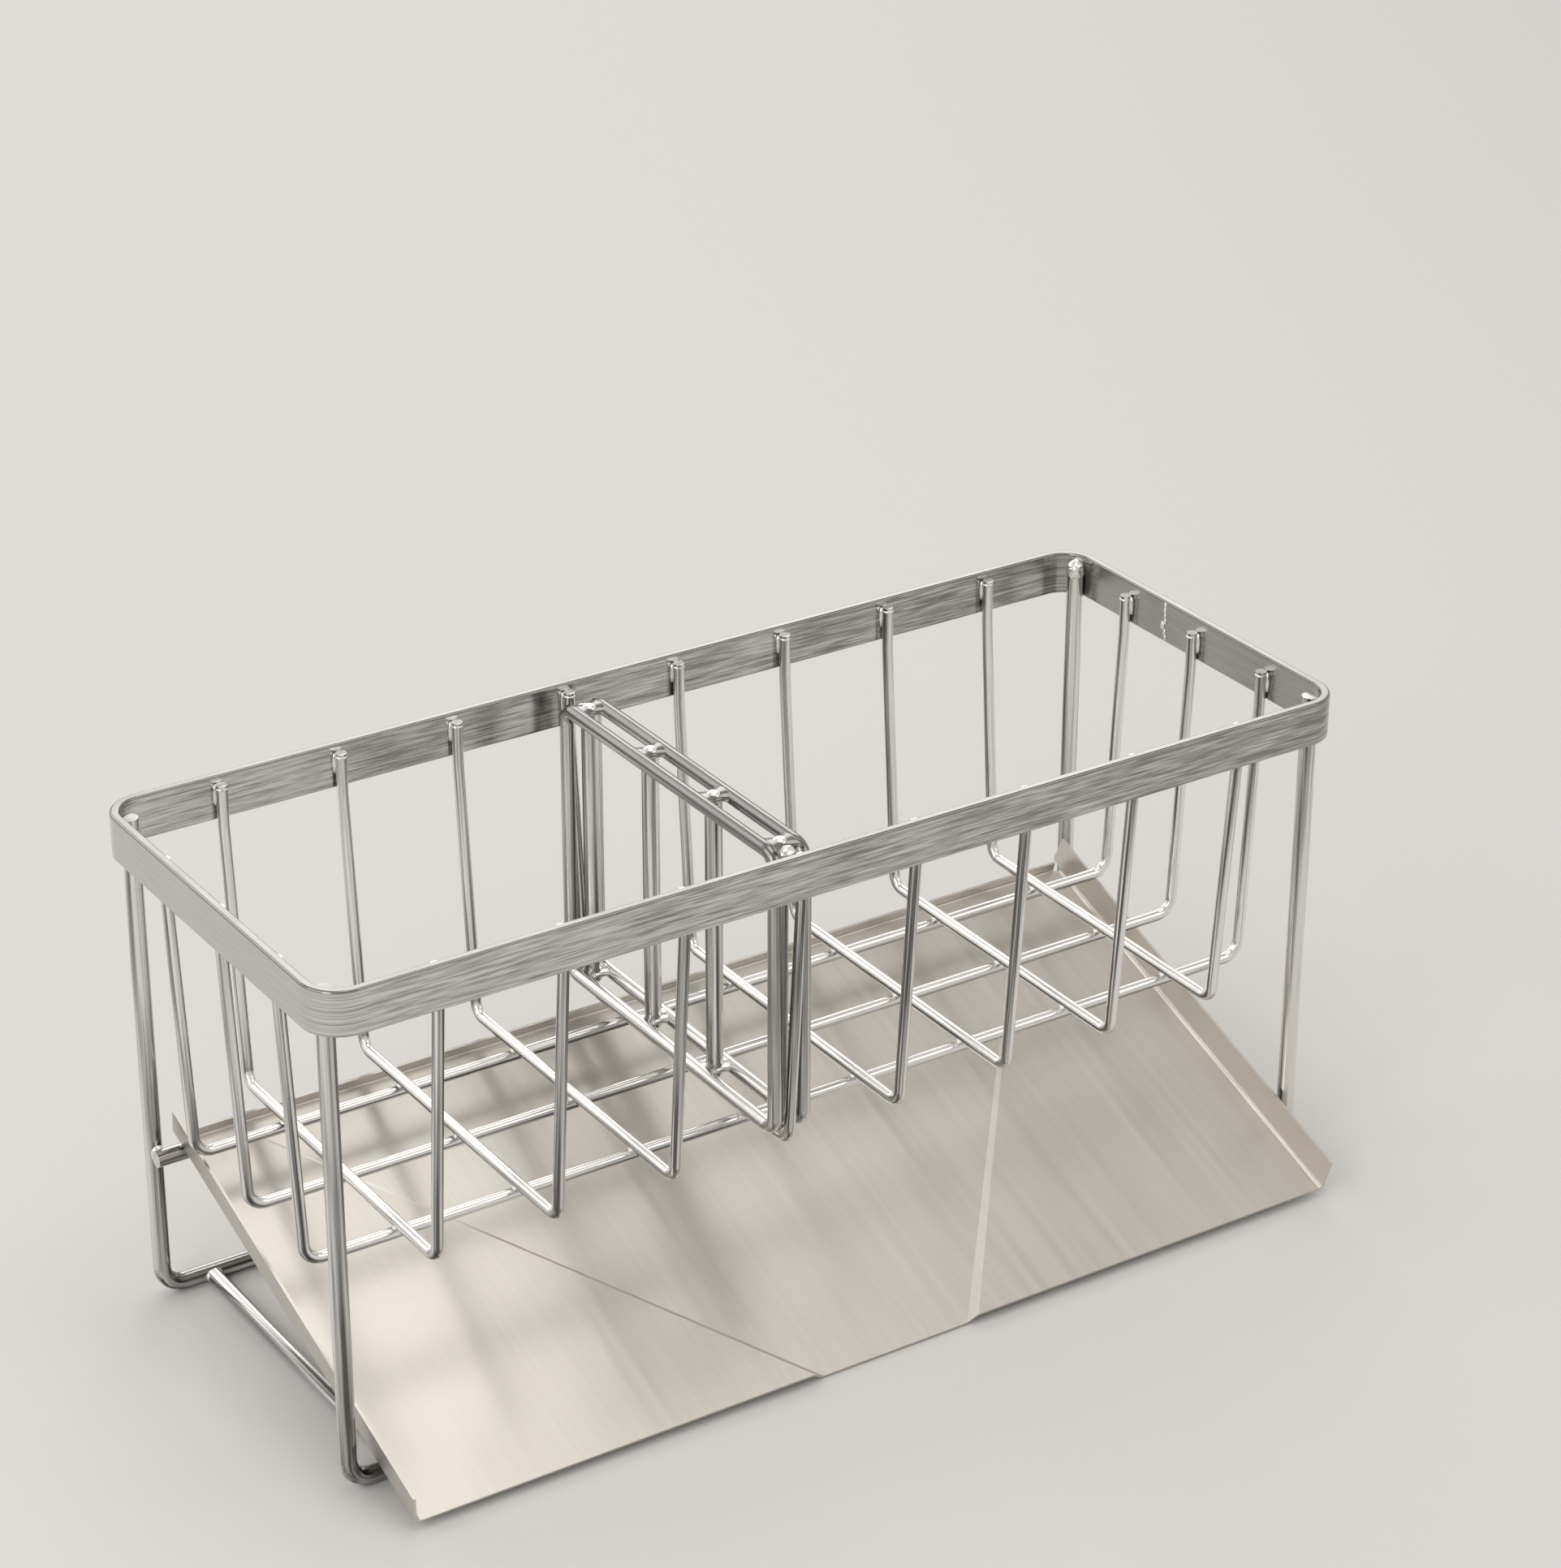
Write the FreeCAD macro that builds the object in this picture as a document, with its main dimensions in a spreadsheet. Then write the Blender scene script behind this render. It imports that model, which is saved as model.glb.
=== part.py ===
import FreeCAD, Part
import math
import os
import re
import Sketcher

# Kitchen sink caddy: a wire basket hung in a flat rim band on two bent leg frames, a lift-out
# wire divider astride one of the basket's wires, and a sloping drip tray that rests on the rear bar.
# Frame: X along the caddy, Y to the rear, Z up, origin on the table midway between the leg frames.

# Sizes in millimetres and degrees, grouped by the piece that they belong to
SIZES = {
    # Rim band
    "rim_length": 298.0,
    "rim_width": 118.0,
    "rim_top": 140.0,
    "rim_corner_radius": 10.0,
    "band_height": 12.0,
    "band_thickness": 2.5,
    "band_edge_radius": 0.6,
    # Leg frames, floor runners and rear tray bar
    "leg_wire": 4.5,
    "leg_bend": 6.0,
    "leg_top_drop": 2.0,
    "leg_corner_angle": 22.4,
    "runner_wire": 4.0,
    "runner_inset": 13.5,
    "tray_bar_drop": 7.6,
    "tray_bar_overlap": 1.5,
    # Basket wires
    "basket_wire": 3.0,
    "basket_depth": 84.6,
    "cross_lean": 5.4,
    "knee_drop": 1.5,
    "knee_bend": 30.0,
    "cross_top_drop": 1.9,
    "cross_end_gap": 29.6,
    "cross_bend": 4.0,
    "long_top_drop": 3.6,
    "long_side_gap": 27.0,
    "long_lean": 3.0,
    "long_bend": 5.0,
    # Divider
    "divider_wire": 3.8,
    "divider_bend": 4.0,
    "divider_side_gap": 0.75,
    "divider_end_gap": 5.1,
    "divider_top_drop": 1.5,
    "divider_seat_gap": 0.3,
    "divider_foot": 0.5,
    "rod_inset": 4.5,
    "rod_dome": 1.6,
    # Drip tray
    "tray_sheet": 0.7,
    "tray_overhang": 22.7,
    "tray_side_gap": 1.7,
    "tray_bar_gap": 0.3,
    "tray_rest_gap": 0.2,
    "flange_height": 8.2,
    "flange_lean": 1.0,
    "flange_setback": 1.0,
    "flange_tail": 4.3,
    "fold_radius": 1.2,
    "lip_height": 2.8,
    "lip_fold_radius": 0.5,
    "lip_run": 0.4,
    "lip_end_gap": 2.2,
    "spout_width": 44.0,
    "spout_depth": 2.0,
    "crease_front_width": 3.1,
    "crease_rear_width": 0.6,
    "crease_rear_inset": 8.0,
    "cut_overrun": 5.0,
}
NEAR_SHARE = 0.001
CROSS_WIRES = 8
LONG_WIRES = 3
DIVIDER_RODS = 4

# Places and sizes worked out from the ones above
DERIVED = {
    "inner_x": "rim_length / 2 - band_thickness",
    "inner_y": "rim_width / 2 - band_thickness",
    "band_bottom": "rim_top - band_height",
    "leg_swing": "rim_corner_radius - band_thickness - leg_wire / 2",
    "leg_x": "rim_length / 2 - rim_corner_radius + leg_swing * cos(leg_corner_angle)",
    "leg_y": "rim_width / 2 - rim_corner_radius + leg_swing * sin(leg_corner_angle)",
    "leg_top": "rim_top - leg_top_drop",
    "runner_reach": "leg_y - leg_wire / 2",
    "cross_z": "rim_top - basket_depth",
    "cross_y": "inner_y - basket_wire / 2",
    "cross_top": "rim_top - cross_top_drop",
    "cross_pitch": f"2 * (inner_x - cross_end_gap) / {CROSS_WIRES - 1}",
    "knee_z": "band_bottom - knee_drop",
    "long_z": "cross_z - basket_wire",
    "long_x": "inner_x - basket_wire / 2",
    "long_top": "rim_top - long_top_drop",
    "long_pitch": f"2 * (inner_y - long_side_gap) / {LONG_WIRES - 1}",
    "bar_y": "leg_y - leg_wire",
    "bar_z": "long_z - basket_wire / 2 - tray_bar_drop",
    "bar_reach": "leg_x + tray_bar_overlap",
    "rod_wire": "basket_wire + 2 * divider_side_gap",
    "loop_offset": "(rod_wire + divider_wire) / 2",
    "loop_y": "inner_y - divider_end_gap - divider_wire / 2",
    "loop_top": "rim_top - divider_top_drop - divider_wire / 2",
    "rod_foot": "cross_z + basket_wire / 2 + divider_seat_gap",
    "loop_bottom": "rod_foot + divider_foot + divider_wire / 2",
    "rod_length": "loop_top + divider_wire / 2 - rod_foot",
    "rod_pitch": f"2 * (loop_y - rod_inset) / {DIVIDER_RODS - 1}",
    "divider_x": f"({CROSS_WIRES // 2} - {(CROSS_WIRES + 1) / 2}) * cross_pitch",
    "tray_half": "leg_x - leg_wire / 2 - tray_side_gap - tray_sheet - flange_lean",
    "tray_rise": "leg_wire / 2 + tray_bar_gap + tray_sheet",
    "spout_drop": "spout_depth + tray_sheet",
    "spout_rise": "tray_rise - spout_drop",
    "tray_run": "bar_y + leg_y + tray_overhang",
    "tray_fall": "bar_z - tray_rest_gap",
    "tray_length": "sqrt(tray_run^2 + tray_fall^2 - spout_rise^2)",
    "tray_tilt": "atan(tray_fall / tray_run) + atan(spout_rise / tray_length)",
    "tray_y": "bar_y - tray_rise * sin(tray_tilt)",
    "tray_z": "bar_z + tray_rise * cos(tray_tilt)",
    "lip_front": "lip_run + lip_fold_radius",
    "lip_back": "lip_front + tray_sheet",
    "lip_width": "2 * (tray_half - lip_end_gap)",
    "sheet_back": "flange_tail + cut_overrun",
    "crease_rear": "tray_half - crease_rear_inset",
    "crease_rear_rise": "spout_depth * sheet_back / tray_length",
    "trim_top": "flange_height + cut_overrun",
    "trim_front": "flange_setback * trim_top / flange_height - tray_length",
}

doc = FreeCAD.newDocument("sink_caddy")
sizes = doc.addObject("Spreadsheet::Sheet", "sizes")


def fill_sheet():
    """Write the sizes and the worked-out values into the sheet, each under its own alias."""
    cells = [(alias, str(size)) for alias, size in SIZES.items()]
    cells += [(alias, "=" + formula) for alias, formula in DERIVED.items()]
    for row, (alias, text) in enumerate(cells, start=1):
        sizes.set(f"A{row}", alias)
        sizes.set(f"B{row}", text)
        sizes.setAlias(f"B{row}", alias)
    doc.recompute()


def cell(formula):
    """Turn a formula of aliases into one that other objects can use."""
    return re.sub(r"[a-z]\w*", r"sizes.\g<0>", formula)


def number(formula):
    """Value of a formula of aliases."""
    return float(FreeCAD.Units.Quantity(sizes.evalExpression(cell(formula))).Value)


def bind(target, path, formula):
    """Bind one property or constraint of an object to a formula of aliases."""
    target.setExpression(path, cell(formula))


def new_body(label):
    """Empty body of the given name."""
    return doc.addObject("PartDesign::Body", label)


def new_sketch(body, name, plane):
    """Sketch on one of the body's own origin planes."""
    sketch = body.newObject("Sketcher::SketchObject", name)
    support = [item for item in body.Origin.OriginFeatures if item.Role == plane]
    sketch.AttachmentSupport = [(support[0], "")]
    sketch.MapMode = "FlatFace"
    return sketch


def fix_point(sketch, shape, end, place):
    """Hold one point of a sketch at formulas for its two coordinates."""
    for kind, formula in zip(("DistanceX", "DistanceY"), place):
        constraint = Sketcher.Constraint(kind, -1, 1, shape, end, number(formula))
        bind(sketch, f"Constraints[{sketch.addConstraint(constraint)}]", formula)


def trace(sketch, corners, closed=False):
    """Straight runs through corners (u, v, bend), joined by tangent arcs where a bend is given."""
    places = [FreeCAD.Vector(number(u), number(v), 0) for u, v, bend in corners]
    count = len(corners)
    before = list(places)
    after = list(places)
    for index, (u, v, bend) in enumerate(corners):
        if bend:
            inward = (places[index] - places[index - 1]).normalize()
            outward = (places[(index + 1) % count] - places[index]).normalize()
            setback = number(bend) * math.tan(inward.getAngle(outward) / 2)
            before[index] = places[index] - inward * setback
            after[index] = places[index] + outward * setback
    runs = []
    for index in range(count if closed else count - 1):
        line = Part.LineSegment(after[index], before[(index + 1) % count])
        runs.append(sketch.addGeometry(line, False))
    for index, (u, v, bend) in enumerate(corners):
        first = not closed and index == 0
        last = not closed and index == count - 1
        if bend:
            round_corner(sketch, runs[index - 1], runs[index], places[index], corners[index])
        elif last:
            fix_point(sketch, runs[-1], 2, (u, v))
        else:
            fix_point(sketch, runs[index], 1, (u, v))
            if not first:
                meet = Sketcher.Constraint("Coincident", runs[index - 1], 2, runs[index], 1)
                sketch.addConstraint(meet)


def round_corner(sketch, run_in, run_out, place, corner):
    """Tangent arc between two runs that would meet at the corner."""
    u, v, bend = corner
    start = sketch.Geometry[run_in].EndPoint
    finish = sketch.Geometry[run_out].StartPoint
    inward = (place - start).normalize()
    outward = (finish - place).normalize()
    left = inward.cross(outward).z > 0
    side = FreeCAD.Vector(-inward.y, inward.x, 0) * (1 if left else -1)
    centre = start + side * number(bend)
    angles = [math.atan2(end.y - centre.y, end.x - centre.x) for end in (start, finish)]
    if not left:
        angles.reverse()
    circle = Part.Circle(centre, FreeCAD.Vector(0, 0, 1), number(bend))
    arc = sketch.addGeometry(Part.ArcOfCircle(circle, angles[0], angles[1]), False)
    mark = sketch.addGeometry(Part.Point(place), True)
    fix_point(sketch, mark, 1, (u, v))
    sketch.addConstraint(Sketcher.Constraint("PointOnObject", mark, 1, run_in))
    sketch.addConstraint(Sketcher.Constraint("PointOnObject", mark, 1, run_out))
    sketch.addConstraint(Sketcher.Constraint("Tangent", run_in, 2, arc, 1 if left else 2))
    sketch.addConstraint(Sketcher.Constraint("Tangent", arc, 2 if left else 1, run_out, 1))
    radius = Sketcher.Constraint("Radius", arc, number(bend))
    bind(sketch, f"Constraints[{sketch.addConstraint(radius)}]", bend)


def draw_circle(sketch, place, diameter):
    """Circle of the given diameter about a point."""
    centre = FreeCAD.Vector(number(place[0]), number(place[1]), 0)
    circle = Part.Circle(centre, FreeCAD.Vector(0, 0, 1), number(diameter) / 2)
    shape = sketch.addGeometry(circle, False)
    fix_point(sketch, shape, 3, place)
    size = Sketcher.Constraint("Diameter", shape, number(diameter))
    bind(sketch, f"Constraints[{sketch.addConstraint(size)}]", diameter)


def bent_wire(label, plane, corners, diameter, closed=False):
    """Round wire bent along corners in an upright plane, its first run going straight down."""
    body = new_body(label)
    path = new_sketch(body, label + "_path", plane)
    trace(path, corners, closed)
    section = new_sketch(body, label + "_section", "XY_Plane")
    side, height, bend = corners[0]
    bind(section, "AttachmentOffset.Base.z", f"{height} - {bend}" if closed else height)
    draw_circle(section, (side, "0") if plane == "XZ_Plane" else ("0", side), diameter)
    pipe = body.newObject("PartDesign::AdditivePipe", label + "_pipe")
    pipe.Profile = section
    pipe.Spine = path
    return body


def straight_wire(label, axis, length, diameter):
    """Straight round wire that starts at its own origin and runs along an axis."""
    wire = doc.addObject("Part::Cylinder", label)
    bind(wire, "Radius", f"{diameter} / 2")
    bind(wire, "Height", length)
    turn = FreeCAD.Rotation(FreeCAD.Vector(0, 0, 1), axis)
    wire.Placement = FreeCAD.Placement(FreeCAD.Vector(), turn)
    return wire


def put(piece, x="0", y="0", z="0"):
    """Move a piece to formulas for its place."""
    for axis, formula in (("x", x), ("y", y), ("z", z)):
        bind(piece, f"Placement.Base.{axis}", formula)
    return piece


def pad(body, sketch, length, middle=False):
    """Pad of a sketch, to one side or about its plane."""
    feature = body.newObject("PartDesign::Pad", sketch.Name + "_pad")
    feature.Profile = sketch
    bind(feature, "Length", length)
    feature.SideType = "Symmetric" if middle else "One side"
    return feature


def round_edges(body, base, radius, wanted):
    """Fillet those edges of a feature that a test picks out."""
    doc.recompute()
    edges = [f"Edge{n}" for n, edge in enumerate(base.Shape.Edges, start=1) if wanted(edge)]
    fillet = body.newObject("PartDesign::Fillet", base.Name + "_round")
    fillet.Base = (base, edges)
    bind(fillet, "Radius", radius)
    return fillet


def is_level(edge):
    """Whether an edge lies in a level plane."""
    return edge.BoundBox.ZLength < edge.Length * NEAR_SHARE


def runs_at(edge, reach):
    """Whether an edge runs the tray's whole length, that far to the left or right."""
    near = number(reach) * NEAR_SHARE
    offsets = [abs(abs(vertex.X) - number(reach)) for vertex in edge.Vertexes]
    return edge.Length > number("tray_length") and max(offsets) < near


def rim_band():
    """Flat bar bent on edge to a closed rounded rectangle."""
    body = new_body("rim_band")
    sketch = new_sketch(body, "rim_outline", "XY_Plane")
    for half_x, half_y, radius in (
        ("rim_length / 2", "rim_width / 2", "rim_corner_radius"),
        ("inner_x", "inner_y", "rim_corner_radius - band_thickness"),
    ):
        turns = ((1, 1), (-1, 1), (-1, -1), (1, -1))
        corners = [(f"{x} * {half_x}", f"{y} * {half_y}", radius) for x, y in turns]
        trace(sketch, corners, closed=True)
    bar = pad(body, sketch, "band_height")
    round_edges(body, bar, "band_edge_radius", is_level)
    return put(body, z="band_bottom")


def leg_frame(label, y):
    """Thick wire U: leg, floor bar and leg, its legs welded into two corners of the band."""
    corners = [
        ("-1 * leg_x", "leg_top", None),
        ("-1 * leg_x", "leg_wire / 2", "leg_bend"),
        ("leg_x", "leg_wire / 2", "leg_bend"),
        ("leg_x", "leg_top", None),
    ]
    return put(bent_wire(label, "XZ_Plane", corners, "leg_wire"), y=y)


def basket_wire(label, plane, top, reach, lean, floor, bend):
    """Thin wire U: upright against the band, drawn in a little below it, and level at the bottom."""
    half = [
        (reach, top, None),
        (reach, "knee_z", "knee_bend"),
        (f"{reach} - {lean}", floor, bend),
    ]
    mirrored = [(f"-1 * ( {u} )", v, turn) for u, v, turn in half]
    return bent_wire(label, plane, mirrored + half[::-1], "basket_wire")


def frame():
    """Rim, legs, floor runners, tray bar and basket wires, all welded together."""
    pieces = [
        rim_band(),
        leg_frame("rear_leg_frame", "leg_y"),
        leg_frame("front_leg_frame", "-1 * leg_y"),
    ]
    along_x = FreeCAD.Vector(1, 0, 0)
    along_y = FreeCAD.Vector(0, 1, 0)
    for label, side in (("left_floor_runner", -1), ("right_floor_runner", 1)):
        runner = straight_wire(label, along_y, "2 * runner_reach", "runner_wire")
        runner_x = f"{side} * (leg_x - runner_inset)"
        pieces.append(put(runner, runner_x, "-1 * runner_reach", "leg_wire / 2"))
    bar = straight_wire("rear_tray_bar", along_x, "2 * bar_reach", "leg_wire")
    pieces.append(put(bar, "-1 * bar_reach", "bar_y", "bar_z"))
    for index in range(CROSS_WIRES):
        label = f"cross_wire_{index + 1}"
        run = ("cross_top", "cross_y", "cross_lean", "cross_z", "cross_bend")
        wire = basket_wire(label, "YZ_Plane", *run)
        pieces.append(put(wire, x=f"{index - (CROSS_WIRES - 1) / 2} * cross_pitch"))
    for index in range(LONG_WIRES):
        label = f"long_wire_{index + 1}"
        run = ("long_top", "long_x", "long_lean", "long_z", "long_bend")
        wire = basket_wire(label, "XZ_Plane", *run)
        pieces.append(put(wire, y=f"{(LONG_WIRES - 1) / 2 - index} * long_pitch"))
    return pieces


def divider_rod(label):
    """Upright rod with domed ends, held between the two loops."""
    body = new_body(label)
    sketch = new_sketch(body, label + "_section", "XY_Plane")
    draw_circle(sketch, ("0", "0"), "rod_wire")
    rod = pad(body, sketch, "rod_length")
    round_edges(body, rod, "rod_dome", is_level)
    return body


def divider():
    """Two closed loops side by side, with rods welded between them."""
    corners = [
        ("-1 * loop_y", "loop_top", "divider_bend"),
        ("-1 * loop_y", "loop_bottom", "divider_bend"),
        ("loop_y", "loop_bottom", "divider_bend"),
        ("loop_y", "loop_top", "divider_bend"),
    ]
    pieces = []
    for label, sign in (("divider_left_loop", "-"), ("divider_right_loop", "+")):
        loop = bent_wire(label, "YZ_Plane", corners, "divider_wire", closed=True)
        pieces.append(put(loop, x=f"divider_x {sign} loop_offset"))
    for index in range(DIVIDER_RODS):
        rod = divider_rod(f"divider_rod_{index + 1}")
        rod_y = f"{(DIVIDER_RODS - 1) / 2 - index} * rod_pitch"
        pieces.append(put(rod, "divider_x", rod_y, "rod_foot"))
    return pieces


def tray_section(body, name, y, crease, width, depth):
    """Cross-section of the tray's sheet: two flanges, two flats and the pan between the creases."""
    half = [
        ("tray_half + flange_lean", "flange_height"),
        ("tray_half", "0"),
        (f"{crease} + {width}", "0"),
        (crease, f"-1 * {depth}"),
    ]
    under = [
        ("tray_half + flange_lean + tray_sheet", "flange_height"),
        ("tray_half + tray_sheet", "-1 * tray_sheet"),
        (f"{crease} + {width}", "-1 * tray_sheet"),
        (crease, f"-1 * {depth} - tray_sheet"),
    ]
    right = half[::-1] + under
    left = [(f"-1 * ( {u} )", v) for u, v in right[::-1]]
    sketch = new_sketch(body, name, "XZ_Plane")
    bind(sketch, "AttachmentOffset.Base.z", f"-1 * ( {y} )")
    trace(sketch, [(u, v, None) for u, v in right + left], closed=True)
    return sketch


def drip_tray():
    """Folded sheet in its own frame: origin on its floor above the rear bar, Y up the slope."""
    body = new_body("drip_tray")
    rear = tray_section(
        body, "tray_rear", "sheet_back", "crease_rear", "crease_rear_width", "-1 * crease_rear_rise"
    )
    front = tray_section(
        body, "tray_front", "-1 * tray_length", "spout_width / 2", "crease_front_width", "spout_depth"
    )
    sheet = body.newObject("PartDesign::AdditiveLoft", "tray_sheet_loft")
    sheet.Profile = rear
    sheet.Sections = [front]
    sheet.Ruled = True
    inside = round_edges(body, sheet, "fold_radius", lambda edge: runs_at(edge, "tray_half"))
    outside = "tray_half + tray_sheet"
    round_edges(body, inside, "fold_radius + tray_sheet", lambda edge: runs_at(edge, outside))
    ends = new_sketch(body, "tray_ends", "YZ_Plane")
    below = "-1 * spout_drop - cut_overrun"
    behind = "sheet_back + cut_overrun"
    trace(ends, [
        ("0", below, None),
        ("0", "fold_radius / 2", None),
        ("flange_tail", "fold_radius / 2", None),
        ("flange_tail", "trim_top", None),
        (behind, "trim_top", None),
        (behind, below, None),
    ], closed=True)
    ahead = "-1 * tray_length - cut_overrun"
    trace(ends, [
        ("-1 * tray_length", "0", None),
        ("trim_front", "trim_top", None),
        (ahead, "trim_top", None),
        (ahead, "0", None),
    ], closed=True)
    trim = body.newObject("PartDesign::Pocket", "tray_ends_trim")
    trim.Profile = ends
    trim.SideType = "Symmetric"
    bind(trim, "Length", "2 * leg_x")
    lip = new_sketch(body, "tray_lip", "YZ_Plane")
    trace(lip, [
        ("0", "-1 * tray_sheet", None),
        ("lip_back", "-1 * tray_sheet", "lip_fold_radius + tray_sheet"),
        ("lip_back", "lip_height", None),
        ("lip_front", "lip_height", None),
        ("lip_front", "0", "lip_fold_radius"),
        ("0", "0", None),
    ], closed=True)
    pad(body, lip, "lip_width", middle=True)
    turn = FreeCAD.Rotation(FreeCAD.Vector(1, 0, 0), number("tray_tilt"))
    body.Placement = FreeCAD.Placement(FreeCAD.Vector(), turn)
    bind(body, "Placement.Rotation.Angle", "tray_tilt")
    return put(body, y="tray_y", z="tray_z")


def write(pieces):
    """Check every object and write each piece to its own file."""
    doc.recompute()
    for item in doc.Objects:
        if "Invalid" in item.State or "Error" in item.State:
            raise RuntimeError(f"{item.Label} failed: {item.State}")
    for piece in pieces:
        if piece.Shape.isNull() or not piece.Shape.isValid():
            raise RuntimeError(f"{piece.Label} has no valid shape")
    os.makedirs("parts", exist_ok=True)
    for piece in pieces:
        piece.Shape.exportStep(f"parts/{piece.Label}.step")


fill_sheet()
write(frame() + divider() + [drip_tray()])
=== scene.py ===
"""Looks of a stainless sink caddy: brushed band, polished wires, satin drip tray and welds."""

import logging
import math
from dataclasses import Field, dataclass, field, replace
from enum import Enum

import bmesh
import bpy
from mathutils import Euler, Matrix, Vector, noise

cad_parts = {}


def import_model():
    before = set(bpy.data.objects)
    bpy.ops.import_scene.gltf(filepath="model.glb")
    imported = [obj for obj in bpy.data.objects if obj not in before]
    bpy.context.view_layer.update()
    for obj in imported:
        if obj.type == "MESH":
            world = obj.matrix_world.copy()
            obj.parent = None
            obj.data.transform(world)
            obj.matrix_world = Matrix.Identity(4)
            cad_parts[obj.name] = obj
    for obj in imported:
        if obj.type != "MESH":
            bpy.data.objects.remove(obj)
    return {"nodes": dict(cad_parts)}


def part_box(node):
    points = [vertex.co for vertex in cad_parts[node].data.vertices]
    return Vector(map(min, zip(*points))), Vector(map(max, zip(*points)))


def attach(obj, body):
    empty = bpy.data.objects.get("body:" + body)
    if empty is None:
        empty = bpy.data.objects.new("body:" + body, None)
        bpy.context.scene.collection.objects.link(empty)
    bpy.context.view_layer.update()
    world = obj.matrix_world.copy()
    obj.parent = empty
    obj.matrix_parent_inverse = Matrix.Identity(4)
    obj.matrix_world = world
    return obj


LOG = logging.getLogger("sink_caddy")

Colour = tuple[float, float, float]
Span = tuple[float, float]
Material = bpy.types.Material
ShaderNode = bpy.types.Node
Socket = bpy.types.NodeSocket
Solids = dict[str, bpy.types.Object]
Tree = bpy.types.NodeTree

# How much finer the scratches are than the streaks, along the grain and both ways across it.
SCRATCH_FINENESS = (2.0, 5.0, 5.0)
# Values of the cloudy noise between which the handling marks fade in.
MARKS_SPAN = (0.35, 0.65)
# Share of the scratches in the band's streaks.
SCRATCH_SHARE = 0.3
# Half way from one end of a mask or a ramp to the other.
HALF_WAY = 0.5
# How squarely the band faces front or rear where its streaks are full.
FULL_STREAKS_FACING = 0.9
# How squarely a surface faces up where its painted light is full.
FULL_PAINTED_TOP_FACING = 0.7
# Weight of the handling marks beside the streaks in the roughness, and the span of their sum.
MARKS_WEIGHT = 0.4
WEAR_SPAN = (0.3, 1.1)
# Turn of the drawn-out gloss, as a share of a full turn.
GLOSS_TURN = 0.25


class Body(Enum):
    """Bodies of the caddy that get welds."""

    FRAME = "frame"
    DIVIDER = "divider"


class Slot(Enum):
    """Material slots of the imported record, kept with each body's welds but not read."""

    BASKET = "basket_steel"
    DIVIDER = "divider_steel"


class Grain(Enum):
    """Which way the grain of a steel piece runs."""

    ROUND_THE_BAND = "round the band"
    DOWN_THE_SLOPE = "down the slope"
    ALONG_THE_WIRE = "along the wire"
    NONE = "none"


class Coordinate(Enum):
    """Texture coordinates that the materials read."""

    PLACE = "Object"
    NORMAL = "Normal"
    DIRECTION = "Generated"


def link(tree: Tree, source: Socket, target: Socket) -> None:
    """Link two sockets of a node tree."""
    tree.links.new(source, target)


def coordinate(tree: Tree, kind: Coordinate) -> Socket:
    """Add a texture coordinate to a node tree and give its socket."""
    return tree.nodes.new("ShaderNodeTexCoord").outputs[kind.value]


def split_axes(tree: Tree, vector: Socket) -> ShaderNode:
    """Add a node that splits a vector into its axes.

    Args:
        tree: Node tree that gets the node.
        vector: Socket with the vector.

    Returns:
        The node, with one output for each axis.
    """
    split = tree.nodes.new("ShaderNodeSeparateXYZ")
    link(tree, vector, split.inputs["Vector"])
    return split


def calculate(tree: Tree, operation: str, *operands: Socket | float) -> Socket:
    """Add a math node.

    Args:
        tree: Node tree that gets the node.
        operation: What the node does with its operands.
        operands: Sockets and plain numbers, in the node's own order.

    Returns:
        Socket with the result.
    """
    node = tree.nodes.new("ShaderNodeMath")
    node.operation = operation
    for target, operand in zip(node.inputs, operands):
        if isinstance(operand, Socket):
            link(tree, operand, target)
        else:
            target.default_value = operand
    return node.outputs["Value"]


def map_range(tree: Tree, value: Socket, source: Span, target: Span = (0.0, 1.0)) -> ShaderNode:
    """Add a node that maps one span of values to another and keeps to its ends.

    Args:
        tree: Node tree that gets the node.
        value: Socket with the value.
        source: Values that become the ends of the target.
        target: Ends of the new span.

    Returns:
        The node, which blends in a straight line.
    """
    node = tree.nodes.new("ShaderNodeMapRange")
    for label, end in zip(("From Min", "From Max", "To Min", "To Max"), (*source, *target)):
        node.inputs[label].default_value = end
    link(tree, value, node.inputs["Value"])
    return node


def new_group(name: str, inputs: dict[str, str], outputs: dict[str, str]) -> Tree:
    """Make an empty shader node group with named sockets.

    Args:
        name: Name of the group.
        inputs: Socket types by input name.
        outputs: Socket types by output name.

    Returns:
        The group, with its input and output nodes in place.
    """
    group = bpy.data.node_groups.new(name, "ShaderNodeTree")
    for label, kind in inputs.items():
        group.interface.new_socket(label, in_out="INPUT", socket_type=kind)
    for label, kind in outputs.items():
        group.interface.new_socket(label, in_out="OUTPUT", socket_type=kind)
    group.nodes.new("NodeGroupInput")
    group.nodes.new("NodeGroupOutput")
    return group


def place_group(tree: Tree, group: Tree, values: dict[str, float]) -> ShaderNode:
    """Place a node group in a material with its own values.

    Args:
        tree: Node tree of the material.
        group: The group.
        values: Numbers by input name.

    Returns:
        The group's node.
    """
    node = tree.nodes.new("ShaderNodeGroup")
    node.node_tree = group
    for label, number in values.items():
        node.inputs[label].default_value = number
    return node


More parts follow.
